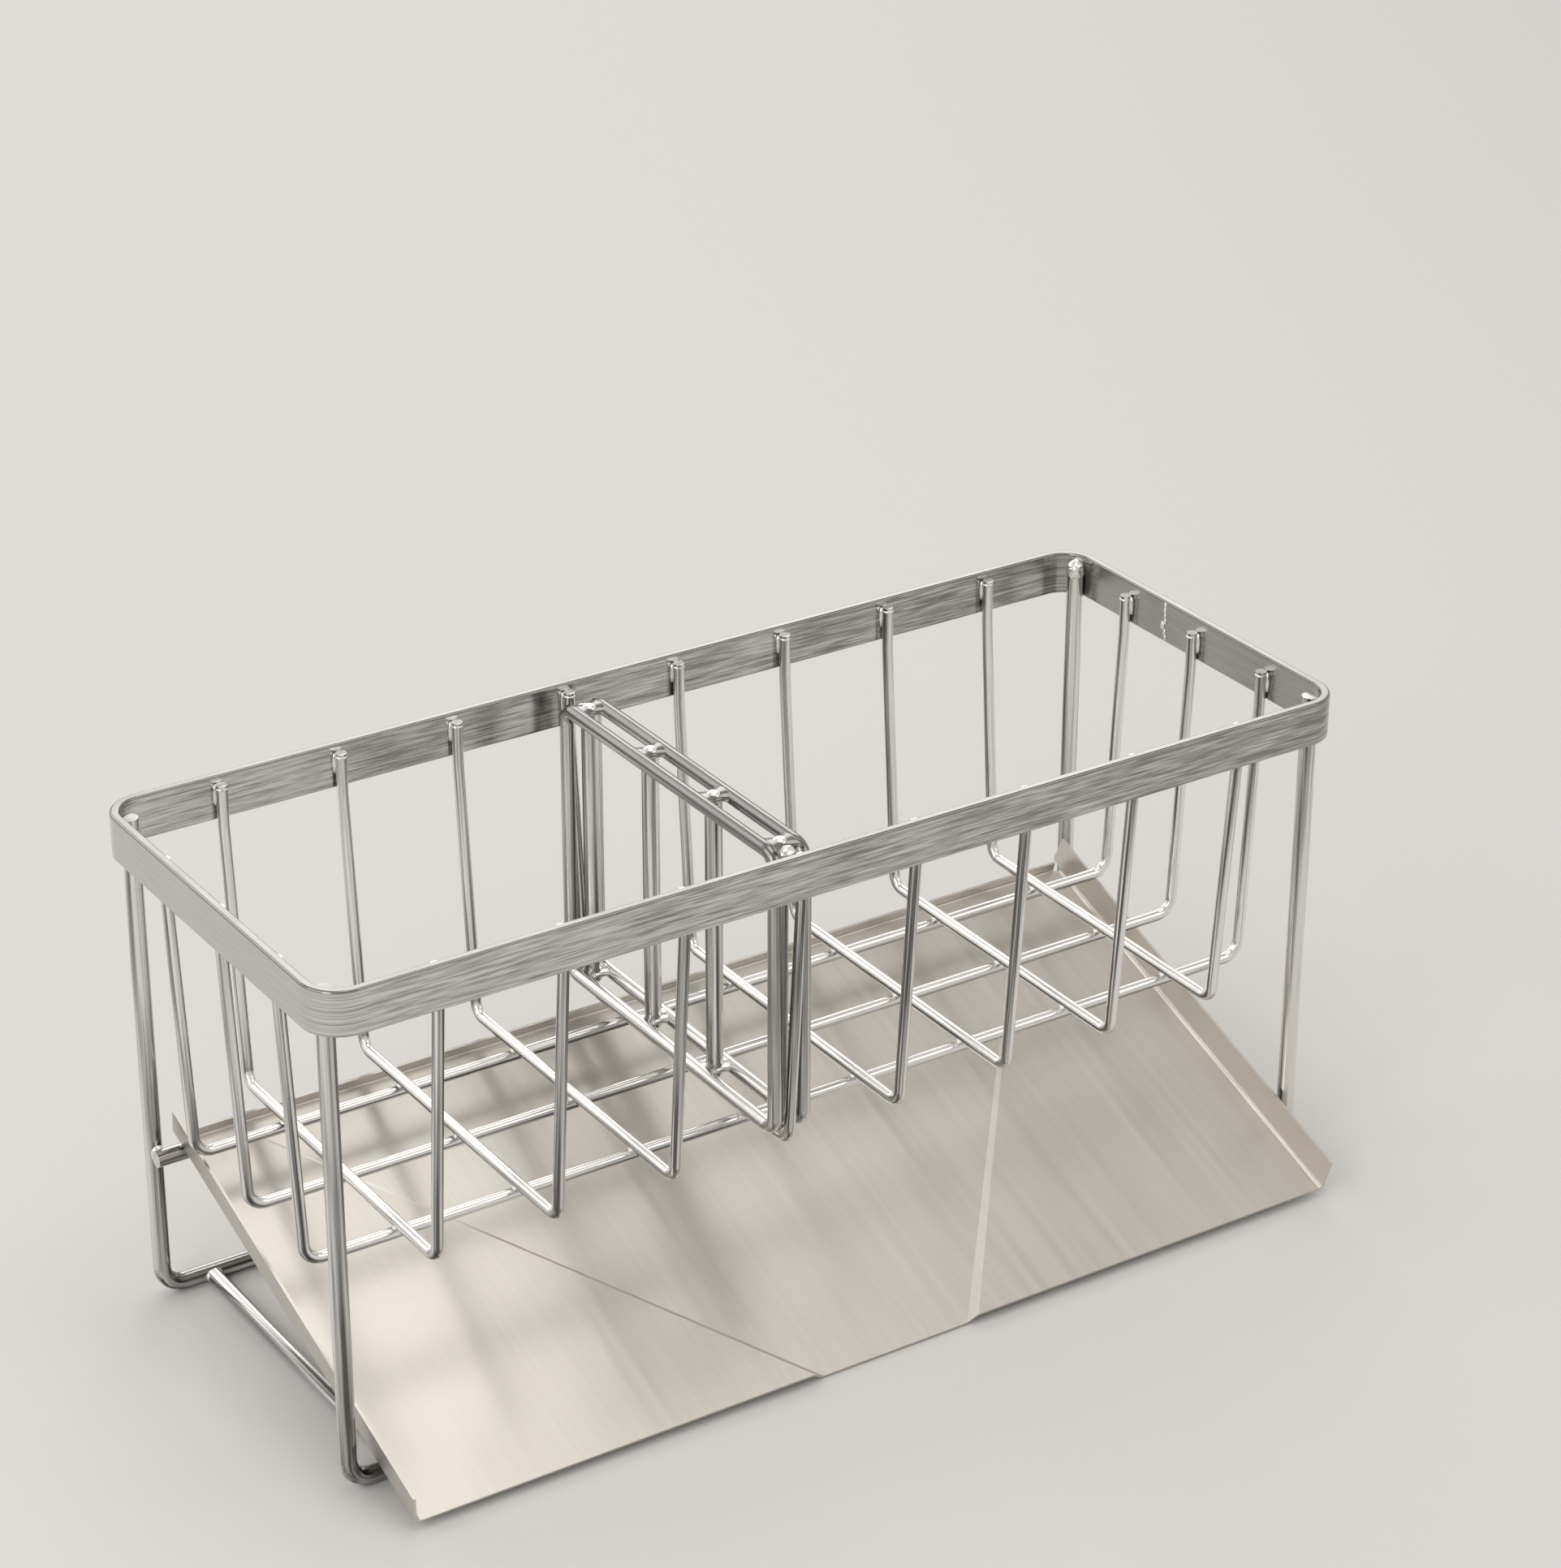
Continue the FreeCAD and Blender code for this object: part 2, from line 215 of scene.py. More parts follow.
class SteelEffects:
    """Shader node groups that the steel finishes share, built once."""

    def __init__(self) -> None:
        """Build both groups."""
        self.grain = self._build_grain()
        self.handling = self._build_handling()

    @staticmethod
    def _noise(group: Tree, vector: Socket, detail: float, roughness: float) -> ShaderNode:
        """Add a noise texture to a group.

        Args:
            group: Group that gets the node.
            vector: Socket with the place in the noise.
            detail: Octaves of the noise.
            roughness: How much the finer octaves weigh.

        Returns:
            The noise node.
        """
        node = group.nodes.new("ShaderNodeTexNoise")
        node.inputs["Scale"].default_value = 1.0
        node.inputs["Detail"].default_value = detail
        node.inputs["Roughness"].default_value = roughness
        link(group, vector, node.inputs["Vector"])
        return node

    def _build_grain(self) -> Tree:
        """Build brushed streaks: noise drawn out along the first axis of its vector.

        Returns:
            A group that turns a vector into a streak mask and a fine scratch mask.
        """
        floats = {"Along": "NodeSocketFloat", "Across": "NodeSocketFloat"}
        masks = {"Streak": "NodeSocketFloat", "Scratch": "NodeSocketFloat"}
        group = new_group("Brushed grain", {"Vector": "NodeSocketVector", **floats}, masks)
        source = group.nodes["Group Input"]
        sink = group.nodes["Group Output"]
        scale = group.nodes.new("ShaderNodeCombineXYZ")
        link(group, source.outputs["Along"], scale.inputs["X"])
        link(group, source.outputs["Across"], scale.inputs["Y"])
        link(group, source.outputs["Across"], scale.inputs["Z"])
        stretched = group.nodes.new("ShaderNodeVectorMath")
        stretched.operation = "MULTIPLY"
        link(group, source.outputs["Vector"], stretched.inputs[0])
        link(group, scale.outputs["Vector"], stretched.inputs[1])
        streak = self._noise(group, stretched.outputs["Vector"], detail=3.0, roughness=0.6)
        link(group, streak.outputs["Fac"], sink.inputs["Streak"])
        finer = group.nodes.new("ShaderNodeVectorMath")
        finer.operation = "MULTIPLY"
        finer.inputs[1].default_value = SCRATCH_FINENESS
        link(group, stretched.outputs["Vector"], finer.inputs[0])
        scratch = self._noise(group, finer.outputs["Vector"], detail=2.0, roughness=0.5)
        link(group, scratch.outputs["Fac"], sink.inputs["Scratch"])
        return group

    def _build_handling(self) -> Tree:
        """Build the cloudy marks that wiping and handling leave.

        Returns:
            A group that turns a vector and a scale into one soft mask.
        """
        group = new_group(
            "Handling marks",
            {"Vector": "NodeSocketVector", "Scale": "NodeSocketFloat"},
            {"Marks": "NodeSocketFloat"},
        )
        source = group.nodes["Group Input"]
        sink = group.nodes["Group Output"]
        cloud = self._noise(group, source.outputs["Vector"], detail=4.0, roughness=0.55)
        link(group, source.outputs["Scale"], cloud.inputs["Scale"])
        soften = map_range(group, cloud.outputs["Fac"], MARKS_SPAN)
        soften.interpolation_type = "SMOOTHSTEP"
        link(group, soften.outputs["Result"], sink.inputs["Marks"])
        return group


@dataclass(frozen=True)
class SteelFinish:
    """Stainless steel with a grain, cloudy handling marks, a fine bump and painted light on its
    tops and sides.

    Attributes:
        name: Name of the material.
        dark: Tone of the darkest streaks.
        light: Tone of the lightest streaks.
        smooth: Roughness where the steel is smoothest.
        rough: Roughness where it is roughest.
        grain: Which way the grain runs.
        along: Frequency along the grain, in cycles per metre.
        across: Frequency across it, in cycles per metre, or round a wire in cycles per radius.
        marks_scale: Frequency of the handling marks, in cycles per metre.
        bump_strength: Strength of the bump.
        bump_depth: Depth of the bump, in metres.
        tone_span: Values of the streak mask that give the dark and the light tone.
        end_streaks: Share of the streaks that is left on what faces left or right.
        painted_side_light: Change of the streak mask for each metre to the right.
        painted_top_light: Change of the streak mask on what faces up.
        painted_low_top_light: The same low on the caddy, where it differs.
        painted_top_light_heights: Heights between which these two blend, in metres.
        anisotropy: How far the gloss is drawn out across the grain.
    """

    name: str
    dark: Colour
    light: Colour
    smooth: float
    rough: float
    grain: Grain
    along: float
    across: float
    marks_scale: float
    bump_strength: float
    bump_depth: float
    tone_span: Span = (0.32, 0.68)
    end_streaks: float = 1.0
    # The sideways change paints light: a painted highlight to the left, painted shade to the
    # right.
    painted_side_light: float = 0.0
    # The top changes paint light on what faces up: painted highlight where positive, painted shade
    # where negative.
    painted_top_light: float = 0.0
    painted_low_top_light: float | None = None
    painted_top_light_heights: Span = (0.075, 0.120)
    anisotropy: float = 0.0

    def material(self, effects: SteelEffects) -> Material:
        """Make the node material of this finish.

        Args:
            effects: Node groups that the finishes share.

        Returns:
            The new material.
        """
        material = bpy.data.materials.new(self.name)
        material.use_nodes = True
        tree = material.node_tree
        shader = tree.nodes["Principled BSDF"]
        shader.inputs["Metallic"].default_value = 1.0
        shader.inputs["Anisotropic"].default_value = self.anisotropy
        shader.inputs["Anisotropic Rotation"].default_value = GLOSS_TURN
        place = coordinate(tree, Coordinate.PLACE)
        # The vector of a drawn wire already has its frequencies in it.
        drawn = self.grain is Grain.ALONG_THE_WIRE
        along, across = (1.0, 1.0) if drawn else (self.along, self.across)
        grain = place_group(tree, effects.grain, {"Along": along, "Across": across})
        link(tree, self._grain_vector(tree, place), grain.inputs["Vector"])
        handling = place_group(tree, effects.handling, {"Scale": self.marks_scale})
        link(tree, place, handling.inputs["Vector"])
        self._colour(tree, self._streaks(tree, grain), shader.inputs["Base Color"])
        self._roughness(tree, grain, handling, shader.inputs["Roughness"])
        bump = tree.nodes.new("ShaderNodeBump")
        bump.inputs["Strength"].default_value = self.bump_strength
        bump.inputs["Distance"].default_value = self.bump_depth
        link(tree, grain.outputs["Scratch"], bump.inputs["Height"])
        link(tree, bump.outputs["Normal"], shader.inputs["Normal"])
        return material

    def _grain_vector(self, tree: Tree, place: Socket) -> Socket:
        """Turn a place on the caddy into one whose first axis lies along the grain.

        Args:
            tree: Node tree of the material.
            place: Socket with the place in the caddy's frame.

        Returns:
            Socket with the turned place.
        """
        if self.grain is Grain.NONE:
            return place
        if self.grain is Grain.ALONG_THE_WIRE:
            return self._die_lines_and_painted_reflection(tree, place)
        split = split_axes(tree, place)
        turned = tree.nodes.new("ShaderNodeCombineXYZ")
        if self.grain is Grain.DOWN_THE_SLOPE:
            link(tree, split.outputs["Y"], turned.inputs["X"])
            link(tree, split.outputs["X"], turned.inputs["Y"])
            return turned.outputs["Vector"]
        girth = calculate(tree, "ADD", split.outputs["X"], split.outputs["Y"])
        link(tree, girth, turned.inputs["X"])
        link(tree, split.outputs["Z"], turned.inputs["Z"])
        return turned.outputs["Vector"]

    def _die_lines_and_painted_reflection(self, tree: Tree, place: Socket) -> Socket:
        """Make a vector that changes round a drawn wire and hardly along it, as die lines do; the
        wide dark and light bands it gives are a painted reflection of dark and bright
        surroundings.

        Args:
            tree: Node tree of the material.
            place: Socket with the place in the caddy's frame.

        Returns:
            Socket with the normal and the place, each at its own frequency.
        """
        around = tree.nodes.new("ShaderNodeVectorMath")
        around.operation = "SCALE"
        around.inputs["Scale"].default_value = self.across
        link(tree, coordinate(tree, Coordinate.NORMAL), around.inputs[0])
        lines = tree.nodes.new("ShaderNodeVectorMath")
        lines.operation = "MULTIPLY_ADD"
        # The signs choose the part of the noise that the wires pass through.
        lines.inputs[1].default_value = (self.along, -self.along, self.along)
        link(tree, place, lines.inputs[0])
        link(tree, around.outputs["Vector"], lines.inputs[2])
        return lines.outputs["Vector"]

    def _streaks(self, tree: Tree, grain: ShaderNode) -> Socket:
        """Make the mask that the tones follow.

        On the band it joins broad streaks and fine scratches, fainter at the band's ends, with a
        painted highlight to the left and painted shade to the right; on the band and the wires it
        adds painted light on what faces up.

        Args:
            tree: Node tree of the material.
            grain: Group node with both masks.

        Returns:
            Socket with the mask that the tones follow.
        """
        if self.grain is Grain.ALONG_THE_WIRE:
            # The wires get painted light on what faces up.
            return self._paint_top_light(tree, grain.outputs["Streak"])
        if self.grain is not Grain.ROUND_THE_BAND:
            return grain.outputs["Streak"]
        both = tree.nodes.new("ShaderNodeMix")
        both.inputs["Factor"].default_value = SCRATCH_SHARE
        link(tree, grain.outputs["Streak"], both.inputs["A"])
        link(tree, grain.outputs["Scratch"], both.inputs["B"])
        normal = split_axes(tree, coordinate(tree, Coordinate.NORMAL))
        facing = calculate(tree, "ABSOLUTE", normal.outputs["Y"])
        strength = map_range(tree, facing, (0.0, FULL_STREAKS_FACING), (self.end_streaks, 1.0))
        faded = tree.nodes.new("ShaderNodeMix")
        faded.inputs["A"].default_value = HALF_WAY
        link(tree, strength.outputs["Result"], faded.inputs["Factor"])
        link(tree, both.outputs["Result"], faded.inputs["B"])
        return self._paint_top_light(tree, self._paint_side_light(tree, faded.outputs["Result"]))

    def _paint_side_light(self, tree: Tree, streak: Socket) -> Socket:
        """Paint light along the caddy: a painted highlight to the left and painted shade to the
        right, as the photograph shows the band.

        Args:
            tree: Node tree of the material.
            streak: Socket with the streak mask.

        Returns:
            Socket with the shifted mask.
        """
        place = split_axes(tree, coordinate(tree, Coordinate.PLACE))
        return calculate(tree, "MULTIPLY_ADD", place.outputs["X"], self.painted_side_light, streak)

    def _paint_top_light(self, tree: Tree, streak: Socket) -> Socket:
        """Paint light on what faces up: a painted highlight on the tops of most wires, painted
        shade on the band's top, slightly on the thick wires' tops and on the divider loops' upper
        tops.

        Args:
            tree: Node tree of the material.
            streak: Socket with the streak mask.

        Returns:
            Socket with the shifted mask.
        """
        normal = split_axes(tree, coordinate(tree, Coordinate.NORMAL))
        upward = (0.0, FULL_PAINTED_TOP_FACING)
        shift = map_range(tree, normal.outputs["Z"], upward, (0.0, self.painted_top_light))
        if self.painted_low_top_light is not None:
            by_height = self._paint_top_light_by_height(tree, self.painted_low_top_light)
            link(tree, by_height, shift.inputs["To Max"])
        return calculate(tree, "ADD", streak, shift.outputs["Result"])

    def _paint_top_light_by_height(self, tree: Tree, low_painted_light: float) -> Socket:
        """Blend the painted light on tops from its value low on the caddy to its value at the top:
        on the divider loops a painted highlight low down and painted shade high up.

        Args:
            tree: Node tree of the material.
            low_painted_light: Shift below the lower of the two heights.

        Returns:
            Socket with the shift.
        """
        place = split_axes(tree, coordinate(tree, Coordinate.PLACE))
        shifts = (low_painted_light, self.painted_top_light)
        return map_range(tree, place.outputs["Z"], self.painted_top_light_heights, shifts).outputs["Result"]

    def _colour(self, tree: Tree, streak: Socket, target: Socket) -> None:
        """Blend the dark and the light tone by the streaks.

        Args:
            tree: Node tree of the material.
            streak: Socket with the streak mask.
            target: Base colour socket of the shader.
        """
        ramp = tree.nodes.new("ShaderNodeValToRGB")
        tones = zip(ramp.color_ramp.elements, self.tone_span, (self.dark, self.light))
        for element, position, tone in tones:
            element.position = position
            element.color = (*tone, 1.0)
        link(tree, streak, ramp.inputs["Fac"])
        link(tree, ramp.outputs["Color"], target)

    def _roughness(
        self, tree: Tree, grain: ShaderNode, handling: ShaderNode, target: Socket
    ) -> None:
        """Vary the roughness with the streaks and the handling marks.

        Args:
            tree: Node tree of the material.
            grain: Group node with the streak mask.
            handling: Group node with the cloudy mask.
            target: Roughness socket of the shader.
        """
        marks = handling.outputs["Marks"]
        wear = calculate(tree, "MULTIPLY_ADD", marks, MARKS_WEIGHT, grain.outputs["Streak"])
        spread = map_range(tree, wear, WEAR_SPAN, (self.smooth, self.rough))
        link(tree, spread.outputs["Result"], target)


BRUSHED_BAND = SteelFinish(
    name="Brushed band steel",
    dark=(0.25, 0.245, 0.24),
    light=(0.71, 0.70, 0.685),
    smooth=0.10,
    rough=0.26,
    grain=Grain.ROUND_THE_BAND,
    along=55.0,
    across=1250.0,
    marks_scale=25.0,
    bump_strength=0.25,
    bump_depth=0.00005,
    tone_span=(0.39, 0.61),
    end_streaks=0.15,
    # Painted highlight on the band's left end and painted shade on its right end.
    painted_side_light=-0.33,
    # Painted shade on the band's top.
    painted_top_light=-0.3,
    anisotropy=0.5,
)
POLISHED_WIRE = SteelFinish(
    name="Polished wire steel",
    # Far apart, these tones paint dark and bright reflections round each wire, on top of its real
    # die lines.
    dark=(0.12, 0.118, 0.115),
    light=(0.88, 0.87, 0.855),
    smooth=0.12,
    rough=0.28,
    grain=Grain.ALONG_THE_WIRE,
    along=7.0,
    across=1.1,
    marks_scale=90.0,
    bump_strength=0.05,
    bump_depth=0.00004,
    tone_span=(0.40, 0.60),
    # Painted highlight on the wires' tops.
    painted_top_light=0.2,
)
THICK_WIRE = replace(
    POLISHED_WIRE,
    name="Thick wire steel",
    light=(0.80, 0.79, 0.775),
    tone_span=(0.385, 0.585),
    # Slight painted shade on the thick wires' tops.
    painted_top_light=-0.05,
)
DIVIDER_LOOP = replace(
    POLISHED_WIRE,
    name="Divider loop steel",
    # Paler darks than the thin wires: a weaker painted reflection round the loops.
    dark=(0.235, 0.232, 0.226),
    light=(0.76, 0.75, 0.735),
    # Painted shade on the loops' upper tops and a painted highlight on their low tops.
    painted_top_light=-0.3,
    painted_low_top_light=0.2,
)
SATIN_TRAY = SteelFinish(
    name="Satin tray steel",
    dark=(0.62, 0.592, 0.548),
    light=(0.66, 0.631, 0.588),
    smooth=0.31,
    rough=0.41,
    grain=Grain.DOWN_THE_SLOPE,
    along=10.0,
    across=420.0,
    marks_scale=12.0,
    bump_strength=0.05,
    bump_depth=0.00003,
)
WELD_STEEL = SteelFinish(
    name="Weld bead steel",
    dark=(0.76, 0.75, 0.735),
    light=(0.92, 0.91, 0.895),
    smooth=0.16,
    rough=0.30,
    grain=Grain.NONE,
    along=700.0,
    across=700.0,
    marks_scale=400.0,
    bump_strength=0.2,
    bump_depth=0.0001,
)


@dataclass
class WeldBeads:
    """Mesh of the small rough beads that weld one body's wires together."""

    name: str
    body: Body
    slot: Slot
    waviness: float = 0.12
    ripple: float = 700.0
    bridge_waviness: float = 0.048
    bridge_steps: int = 12
    bridge_sides: int = 32
    mesh: bmesh.types.BMesh = field(default_factory=bmesh.new)

    def add(self, centre: Vector, radii: Vector, turn: float = 0.0, fineness: int = 2) -> None:
        """Add one lens-shaped bead with a wavy surface.

        Args:
            centre: Middle of the bead, in metres.
            radii: Half sizes of the bead, in metres.
            turn: Turn of the bead about the upright axis, in radians.
            fineness: Subdivisions of the bead's mesh.
        """
        made = bmesh.ops.create_icosphere(self.mesh, subdivisions=fineness, radius=1.0)
        stand = Matrix.Translation(centre) @ Matrix.Rotation(turn, 4, "Z")
        shape = stand @ Matrix.Diagonal((*radii, 1.0))
        for vertex in made["verts"]:
            swell = 1.0 + self.waviness * noise.noise(shape @ vertex.co * self.ripple)
            vertex.co = shape @ (vertex.co * swell)

    def bridge(self, centre: Vector, reach: float, waist: Vector, flare: Vector) -> None:
        """Add a bridge of weld metal between two wires side by side, narrow in its middle.

        Args:
            centre: Middle of the bridge, in metres.
            reach: Half length of the bridge from wire to wire, in metres.
            waist: Half width and half thickness in the middle, in metres.
            flare: Half width and half thickness at the wires, in metres.
        """
        rings = []
        for step in range(self.bridge_steps + 1):
            along = 2.0 * step / self.bridge_steps - 1.0
            size = waist.lerp(flare, along * along)
            rings.append(self._ring(centre, reach * along, size))
        for one, two in zip(rings, rings[1:]):
            for side in range(self.bridge_sides):
                after = (side + 1) % self.bridge_sides
                self.mesh.faces.new((one[side], one[after], two[after], two[side]))
        self.mesh.faces.new(reversed(rings[0]))
        self.mesh.faces.new(rings[-1])

    def _ring(self, centre: Vector, along: float, size: Vector) -> list[bmesh.types.BMVert]:
        """Add one ring of a bridge's wavy surface.

        Args:
            centre: Middle of the bridge, in metres.
            along: Step from there to the ring, in metres.
            size: Half width and half thickness of the ring, in metres.

        Returns:
            The ring's vertices in order.
        """
        ring = []
        for side in range(self.bridge_sides):
            angle = math.tau * side / self.bridge_sides
            spoke = Vector((along, size.x * math.cos(angle), size.y * math.sin(angle)))
            swell = 1.0 + self.bridge_waviness * noise.noise((centre + spoke) * self.ripple)
            ring.append(self.mesh.verts.new(centre + spoke * swell))
        return ring

    def finish(self, material: Material) -> bpy.types.Object:
        """Turn the beads into one smooth piece that rides on its body.

        Args:
            material: Finish of the beads.

        Returns:
            The new object.
        """
        bmesh.ops.recalc_face_normals(self.mesh, faces=self.mesh.faces)
        data = bpy.data.meshes.new(self.name)
        for face in self.mesh.faces:
            face.smooth = True
        self.mesh.to_mesh(data)
        self.mesh.free()
        data.materials.append(material)
        piece = bpy.data.objects.new(self.name, data)
        bpy.context.scene.collection.objects.link(piece)
        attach(piece, self.body.value)
        return piece


def lengths(*axes: float) -> Field:
    """Make a dataclass field that holds lengths by axis, in metres."""
    return field(default_factory=lambda: Vector(axes))


def named(nodes: Solids, start: str) -> list[str]:
    """Names of the solids that start with a word, in order."""
    return sorted(name for name in nodes if name.startswith(start))


def dress(nodes: Solids, names: list[str], material: Material) -> None:
    """Give some of the caddy's solids one finish.

    Args:
        nodes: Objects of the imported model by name.
        names: Solids that get the finish.
        material: The finish.
    """
    for name in names:
        slots = nodes[name].data.materials
        slots.clear()
        slots.append(material)
        LOG.info("dressed %s with %s", name, material.name)


@dataclass
class WireFrame:
    """Rim band, legs, floor runners, tray bar and basket wires, welded together.

    Caps, fillets, corners and beads are half sizes. A depth or margin is in the half heights
    of its bead, and a fillet's spread and reach are in radii of its wire.
    """

    nodes: Solids
    wire_cap: Vector = lengths(0.0018, 0.0018, 0.0006)
    wire_cap_depth: float = 1.7
    wire_fillet: Vector = lengths(0.0008, 0.0006, 0.0030)
    fillet_spread: float = 0.9
    fillet_reach: float = 0.7
    leg_cap: Vector = lengths(0.0026, 0.0026, 0.0030)
    leg_cap_depth: float = 0.6
    leg_corner: Vector = lengths(0.0021, 0.0021, 0.0028)
    leg_sink: float = 0.0032
    leg_fineness: int = 3
    crossing_bead: Vector = lengths(0.0014, 0.0014, 0.0007)
    runner_bead: Vector = lengths(0.0027, 0.0016, 0.0017)
    bar_bead: Vector = lengths(0.0018, 0.0014, 0.0026)
    seam_bead: Vector = lengths(0.00035, 0.0006, 0.0010)
    seam_beads: int = 7
    seam_place: float = 0.53
    seam_drift: float = 0.0020
    seam_margin: float = 1.3

    def dress(self, band: Material, wire: Material, thick_wire: Material) -> None:
        """Give the band its brushed finish and all the wires their polish.

        Args:
            band: Finish of the rim band.
            wire: Finish of the basket's wires.
            thick_wire: Finish of the legs, the runners and the tray bar.
        """
        wires = named(self.nodes, "cross_wire") + named(self.nodes, "long_wire")
        legs = ["rear_leg_frame", "front_leg_frame", "left_floor_runner", "right_floor_runner"]
        dress(self.nodes, ["rim_band"], band)
        dress(self.nodes, wires, wire)
        dress(self.nodes, legs + ["rear_tray_bar"], thick_wire)

    def build_welds(self, material: Material) -> bpy.types.Object:
        """Build the beads that hold the wires and legs to the band and to each other.

        Args:
            material: Finish of the beads.

        Returns:
            The piece that holds every bead of the frame.
        """
        beads = WeldBeads("frame_welds", Body.FRAME, Slot.BASKET)
        self._wire_ends(beads)
        self._leg_ends(beads)
        self._crossings(beads)
        self._floor_beads(beads)
        self._band_seam(beads)
        return beads.finish(material)

    def _wire_end(self, beads: WeldBeads, top: Vector, outward: Vector) -> None:
        """Add the cap on one wire's end and the fillets that hold it to the band.

        Args:
            beads: Mesh that gets the beads.
            top: Middle of the wire's end, in metres.
            outward: Step from there to the inside of the band, in metres.
        """
        turn = math.atan2(outward.y, outward.x) + math.pi / 2
        sideways = outward.cross(Vector((0.0, 0.0, 1.0)))
        depth = self.wire_cap.z * self.wire_cap_depth
        beads.add(top - Vector((0.0, 0.0, depth)), self.wire_cap, turn)
        for side in (-self.fillet_spread, self.fillet_spread):
            place = top + outward * self.fillet_reach + sideways * side
            beads.add(place - Vector((0.0, 0.0, self.wire_fillet.z)), self.wire_fillet, turn)

    def _wire_ends(self, beads: WeldBeads) -> None:
        """Add the beads at both ends of every basket wire.

        Args:
            beads: Mesh that gets the beads.
        """
        for name in named(self.nodes, "cross_wire"):
            low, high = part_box(name)
            radius = (high.x - low.x) / 2
            for y, side in ((low.y + radius, -1.0), (high.y - radius, 1.0)):
                top = Vector((low.x + radius, y, high.z))
                self._wire_end(beads, top, Vector((0.0, side * radius, 0.0)))
        for name in named(self.nodes, "long_wire"):
            low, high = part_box(name)
            radius = (high.y - low.y) / 2
            for x, side in ((low.x + radius, -1.0), (high.x - radius, 1.0)):
                top = Vector((x, low.y + radius, high.z))
                self._wire_end(beads, top, Vector((side * radius, 0.0, 0.0)))

    def _leg_ends(self, beads: WeldBeads) -> None:
        """Add the rounded weld on every leg's end and the bead that fills the corner behind it.

        Only the weld of the rear right leg stands proud of the leg's end.

        Args:
            beads: Mesh that gets the beads.
        """
        for name in ("rear_leg_frame", "front_leg_frame"):
            low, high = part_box(name)
            radius = (high.y - low.y) / 2
            for x, side in ((low.x + radius, -1.0), (high.x - radius, 1.0)):
                y = low.y + radius
                proud = y > 0.0 and side > 0.0
                sink = 0.0 if proud else self.leg_sink
                top = Vector((x, y, high.z - self.leg_cap.z * self.leg_cap_depth - sink))
                beads.add(top, self.leg_cap, fineness=self.leg_fineness)
                outward = Vector((side, math.copysign(1.0, y), 0.0)).normalized()
                beads.add(top + outward * radius, self.leg_corner, fineness=self.leg_fineness)

    def _crossings(self, beads: WeldBeads) -> None:
        """Add the spot welds where the cross wires lie on the long wires.

        Args:
            beads: Mesh that gets the beads.
        """
        for cross in named(self.nodes, "cross_wire"):
            cross_low, cross_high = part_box(cross)
            for long in named(self.nodes, "long_wire"):
                long_low, long_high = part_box(long)
                x = (cross_low.x + cross_high.x) / 2
                y = (long_low.y + long_high.y) / 2
                beads.add(Vector((x, y, cross_low.z)), self.crossing_bead)

    def _floor_beads(self, beads: WeldBeads) -> None:
        """Add the beads where the runners and the tray bar meet the leg frames.

        Args:
            beads: Mesh that gets the beads.
        """
        for name in ("left_floor_runner", "right_floor_runner"):
            low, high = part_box(name)
            for y in (low.y, high.y):
                place = Vector(((low.x + high.x) / 2, y, (low.z + high.z) / 2))
                beads.add(place, self.runner_bead)
        low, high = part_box("rear_tray_bar")
        leg_low, leg_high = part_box("rear_leg_frame")
        radius = (leg_high.y - leg_low.y) / 2
        for x in (leg_low.x + radius, leg_high.x - radius):
            beads.add(Vector((x, leg_low.y, (low.z + high.z) / 2)), self.bar_bead)

    def _band_seam(self, beads: WeldBeads) -> None:
        """Add the ragged seam inside the right end, where the bent band's own ends are welded.

        Args:
            beads: Mesh that gets the beads.
        """
        low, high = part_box("rim_band")
        rear_low, rear_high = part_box("long_wire_1")
        middle_low, middle_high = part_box("long_wire_2")
        rear_y = (rear_low.y + rear_high.y) / 2
        middle_y = (middle_low.y + middle_high.y) / 2
        y = rear_y + (middle_y - rear_y) * self.seam_place
        bottom = low.z + self.seam_margin * self.seam_bead.z
        top = high.z - self.seam_margin * self.seam_bead.z
        for step in range(self.seam_beads):
            z = bottom + (top - bottom) * step / (self.seam_beads - 1)
            chance = noise.noise(Vector((0.0, 0.0, z * beads.ripple)))
            place = Vector((rear_high.x, y + self.seam_drift * chance, z))
            beads.add(place, self.seam_bead * (1.0 + chance))


